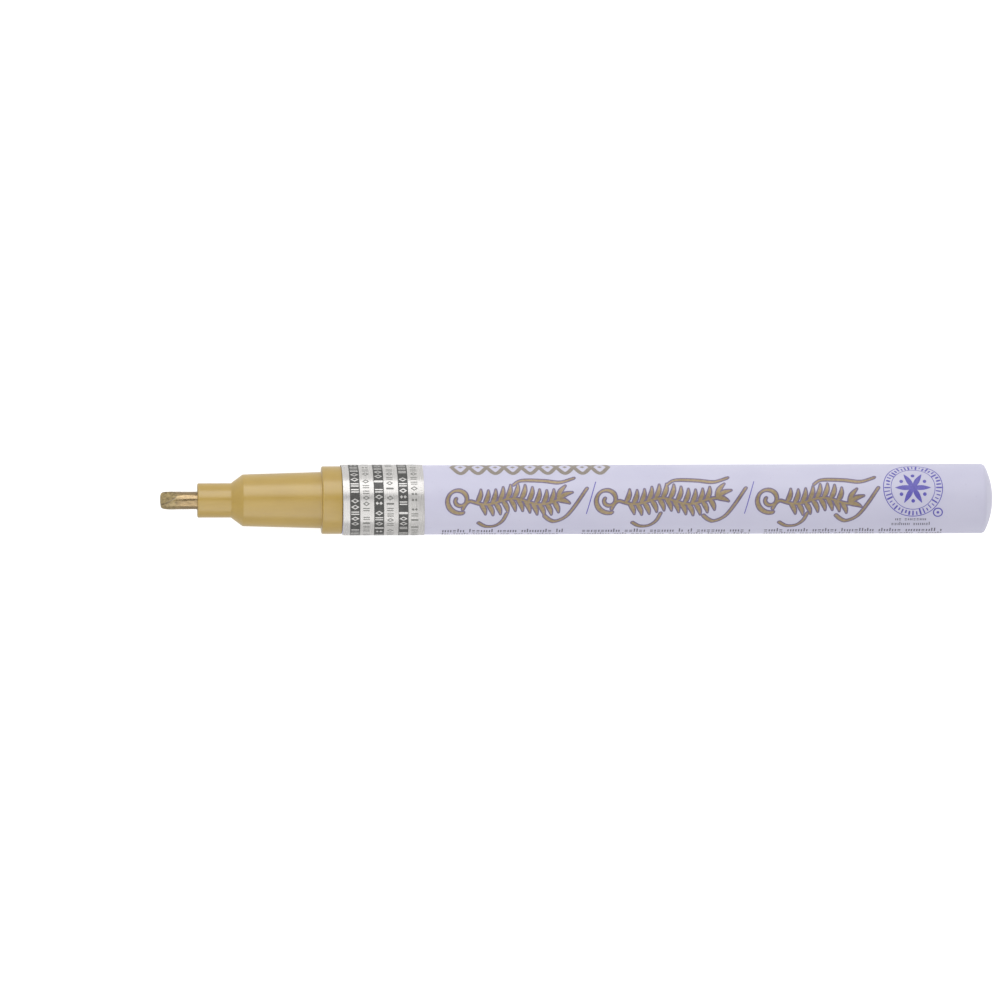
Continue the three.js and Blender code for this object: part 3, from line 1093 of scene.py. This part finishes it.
def badge(s, across):
    """Two thin rings with uneven ticks between them, round a rosette, and a small ring beside them."""
    middle = Vector((s, across))
    parts = ring(s, across, 4.0, 4.12) + ring(s, across, 2.98, 3.07)
    ticks = 44
    tick_circle = 3.54
    for k in range(ticks):
        angle = 2 * math.pi * k / ticks
        out = Vector((math.cos(angle), math.sin(angle)))
        reach = random.uniform(0.12, 0.36)
        at = tick_circle + random.uniform(-0.1, 0.1)
        width = random.uniform(0.13, 0.27)
        parts += straight(middle + out * (at - reach), middle + out * (at + reach), width)
    petals = 6
    dot_circle = 1.85
    for k in range(petals):
        parts += leaf(middle, 2 * math.pi * k / petals, 2.4, 0.66, 0.0)
        angle = 2 * math.pi * (k + 0.5) / petals
        parts += disc(s + dot_circle * math.cos(angle), across + dot_circle * math.sin(angle), 0.26)
    beside = (s + 3.42, across - 3.49)
    return parts + ring(*beside, 0.52, 0.7, 24) + disc(*beside, 0.2)


def line_of_print(start, length, across, height, pen):
    """The strips of one line of small print, whose foot is at an arc length round the barrel."""
    strips = []
    for first, last, low, high in small_print(length, height, pen):
        strips.append(strip(start + first, start + last, across + low, across + high))
    return strips


def fine_lines():
    """Two short lines beside the badge, and three columns of lines below the runs."""
    beside_badge = [(100.7, 4.6, -3.2, 0.5), (100.2, 5.3, -4.1, 0.62)]
    columns = [(38.6, 55.4), (57.8, 80.9), (82.8, 107.3)]
    rows = 8
    first_row = -5.75
    pitch = 1.25
    lines = []
    for start, length, across, height in beside_badge:
        lines += line_of_print(start, length, across, height, 0.12)
    for row in range(rows):
        share = 0.6 if row == rows - 1 else 1
        for start, end in columns:
            lines += line_of_print(start, (end - start) * share, first_row - pitch * row, 1.0, 0.17)
    return lines


def printed_barrel():
    """Three runs of outlined gold flourishes, with a braid over the first, a badge and fine print."""
    runs = [(38.8, 19.2), (59.2, 20.6), (81.3, 16.7)]  # where each starts, and its length
    outline = [union(flourish(start, length, OUTLINE)) for start, length in runs]
    gold = [union(flourish(start, length, 0.0)) for start, length in runs]
    film("script_outline", outline, BARREL_RADIUS, outline_ink, INK)
    film("script_gold", gold, BARREL_RADIUS, gold_ink, ON_INK)
    film("script_dividers", [union(dividers())], BARREL_RADIUS, blue_ink, INK)
    film("edge_braid", [union(braid(39.9, 9))], BARREL_RADIUS, pale_gold_ink, INK)
    film("badge", [union(badge(103.1, 1.55))], BARREL_RADIUS, blue_ink, INK)
    film("fine_print", fine_lines(), BARREL_RADIUS, fine_ink, INK)


printed_barrel()

# ---- Camera, lights and floor -------------------------------------------------------------------------


def make_camera():
    """Above the marker and looking down, a little from the nib's end, with the nib at the left."""
    middle = Vector((-10.51, 0.289, AXIS_HEIGHT)) * MM  # the middle of the picture
    away = 2.5
    seen = 0.13715  # how much of the scene the picture shows from side to side
    tilt = math.radians(3)
    roll = math.radians(-0.145)
    data = bpy.data.cameras.new("camera")
    data.sensor_width = 36
    data.lens = data.sensor_width * away / seen
    data.clip_start = 0.1
    data.clip_end = 20
    camera = bpy.data.objects.new("camera", data)
    camera.location = middle + Vector((-math.sin(tilt), 0, math.cos(tilt))) * away
    camera.rotation_euler = (0, -tilt, roll)
    bpy.context.scene.collection.objects.link(camera)
    bpy.context.scene.camera = camera


def softbox(name, low, high, radiance, along):
    """A long light beside the marker. It fills the sky from one angle to another, from upright towards +Y."""
    distance = 0.45
    length = 0.42
    middle = math.radians((low + high) / 2)
    half = math.radians((high - low) / 2)
    data = bpy.data.lights.new(name, "AREA")
    data.shape = "RECTANGLE"
    data.size = length
    data.size_y = 2 * distance * math.tan(half)
    data.energy = radiance * math.pi * data.size * data.size_y
    light = bpy.data.objects.new(name, data)
    light.location = (along, distance * math.sin(middle), distance * math.cos(middle))
    light.rotation_euler = (-middle, 0, 0)
    bpy.context.scene.collection.objects.link(light)


def make_world():
    """A pale room. Its brightness is the product of a fade along each axis."""
    world = bpy.data.worlds.new("room")
    world.use_nodes = True
    nodes = world.node_tree.nodes
    links = world.node_tree.links
    way = nodes.new("ShaderNodeSeparateXYZ")
    links.new(nodes.new("ShaderNodeTexCoord").outputs["Generated"], way.inputs[0])
    keys = ("From Min", "From Max", "To Min", "To Max")
    fades = {"X": (0.2, 0.9, 1.0, 2.0), "Y": (-1, 1, 0.6, 0.8), "Z": (0.4, 0.9, 1.0, 0.15)}
    product = None
    for axis, values in fades.items():
        fade = nodes.new("ShaderNodeMapRange")
        for key, value in zip(keys, values):
            fade.inputs[key].default_value = value
        links.new(way.outputs[axis], fade.inputs["Value"])
        both = nodes.new("ShaderNodeMath")
        both.operation = "MULTIPLY"
        both.inputs[0].default_value = 1.0
        if product:
            links.new(product, both.inputs[0])
        links.new(fade.outputs["Result"], both.inputs[1])
        product = both.outputs[0]
    links.new(product, nodes["Background"].inputs["Strength"])
    nodes["Background"].inputs["Color"].default_value = (1.0, 1.0, 1.0, 1.0)
    bpy.context.scene.world = world


def make_floor():
    """A wide white table just under the marker."""
    reach = 1.5
    drop = 0.02 * MM
    corners = [(-reach, -reach, -drop), (reach, -reach, -drop), (reach, reach, -drop), (-reach, reach, -drop)]
    floor = mesh_object("floor", corners, [[0, 1, 2, 3]])
    floor.data.materials.append(floor_material())
    floor.visible_glossy = False


make_camera()
make_world()
softbox("near_softbox", -76, 1, 1.65, -0.15)
softbox("far_softbox", 20, 67, 2.7, -0.09)
make_floor()
bpy.context.scene.view_settings.view_transform = "Standard"
